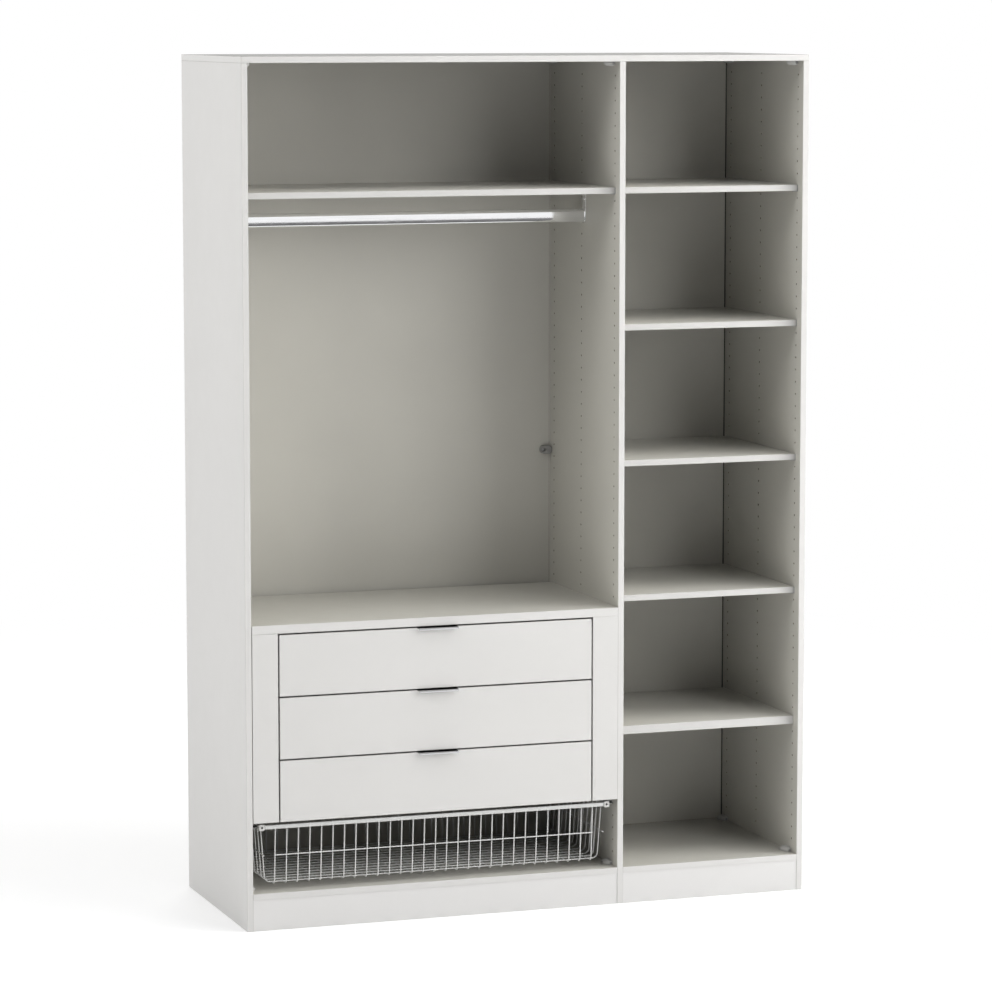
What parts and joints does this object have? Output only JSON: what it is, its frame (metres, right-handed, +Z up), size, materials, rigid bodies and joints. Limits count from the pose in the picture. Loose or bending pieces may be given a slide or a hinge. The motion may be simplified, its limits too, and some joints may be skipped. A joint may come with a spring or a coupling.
{
  "type": "wardrobe",
  "caption": "Open-fronted white wardrobe: wide hanging bay above a drawer insert and pull-out wire basket, beside a narrow bay of adjustable shelves.",
  "frame": {"origin": "on the floor under the middle of the bounding box", "axes": "+X to the right seen from the open front, +Y from the front to the back, +Z up"},
  "size_m": [1.524, 0.584, 2.2],
  "materials": {
    "white_board": "white melamine, satin",
    "back_board": "white foil, matt",
    "drawer_board": "white melamine, satin",
    "white_plastic": "moulded, satin",
    "zinc_steel": "zinc plated",
    "chrome_tube": "polished",
    "slide_steel": "white epoxy coat",
    "white_wire": "white powder coat",
    "polished_metal": "polished"
  },
  "bodies": {
    "carcass": {"left_side_panel": "white_board", "right_side_panel": "white_board", "centre_partition": "white_board", "top_panel": "white_board", "left_bottom_panel": "white_board", "right_bottom_panel": "white_board", "left_front_plinth": "white_board", "right_front_plinth": "white_board", "left_rear_plinth": "white_board", "right_rear_plinth": "white_board", "hat_shelf": "white_board", "shelf_1": "white_board", "shelf_2": "white_board", "shelf_3": "white_board", "shelf_4": "white_board", "fixed_shelf": "white_board", "insert_top": "white_board", "insert_left_side": "white_board", "insert_right_side": "white_board", "insert_rear_rail": "white_board", "insert_spacers": "white_board", "left_filler": "white_board", "right_filler": "white_board", "left_back_panel": "back_board", "right_back_panel": "back_board", "corner_connectors": "white_plastic", "back_panel_clips": "white_plastic", "shelf_supports": "zinc_steel", "clothes_rail": "chrome_tube", "rail_brackets": "chrome_tube", "drawer_slide_channels": "slide_steel", "basket_runners": "slide_steel"},
    "drawer_1": {"drawer_1_front": "drawer_board", "drawer_1_handle": "polished_metal", "drawer_1_left_side": "drawer_board", "drawer_1_right_side": "drawer_board", "drawer_1_back": "drawer_board", "drawer_1_bottom": "drawer_board", "drawer_1_slides": "slide_steel"},
    "drawer_2": {"drawer_2_front": "drawer_board", "drawer_2_handle": "polished_metal", "drawer_2_left_side": "drawer_board", "drawer_2_right_side": "drawer_board", "drawer_2_back": "drawer_board", "drawer_2_bottom": "drawer_board", "drawer_2_slides": "slide_steel"},
    "drawer_3": {"drawer_3_front": "drawer_board", "drawer_3_handle": "polished_metal", "drawer_3_left_side": "drawer_board", "drawer_3_right_side": "drawer_board", "drawer_3_back": "drawer_board", "drawer_3_bottom": "drawer_board", "drawer_3_slides": "slide_steel"},
    "basket": {"basket_front_panel": "white_wire", "basket_back_panel": "white_wire", "basket_left_panel": "white_wire", "basket_right_panel": "white_wire", "basket_floor_wires": "white_wire", "basket_end_caps": "white_plastic"}
  },
  "joints": [
    {"name": "drawer_1_slide", "type": "slide", "parent": "carcass", "child": "drawer_1", "axis": [0, -1, 0], "range_m": [0, 0.34]},
    {"name": "drawer_2_slide", "type": "slide", "parent": "carcass", "child": "drawer_2", "axis": [0, -1, 0], "range_m": [0, 0.34]},
    {"name": "drawer_3_slide", "type": "slide", "parent": "carcass", "child": "drawer_3", "axis": [0, -1, 0], "range_m": [0, 0.34]},
    {"name": "basket_slide", "type": "slide", "parent": "carcass", "child": "basket", "axis": [0, -1, 0], "range_m": [0, 0.33]}
  ]
}
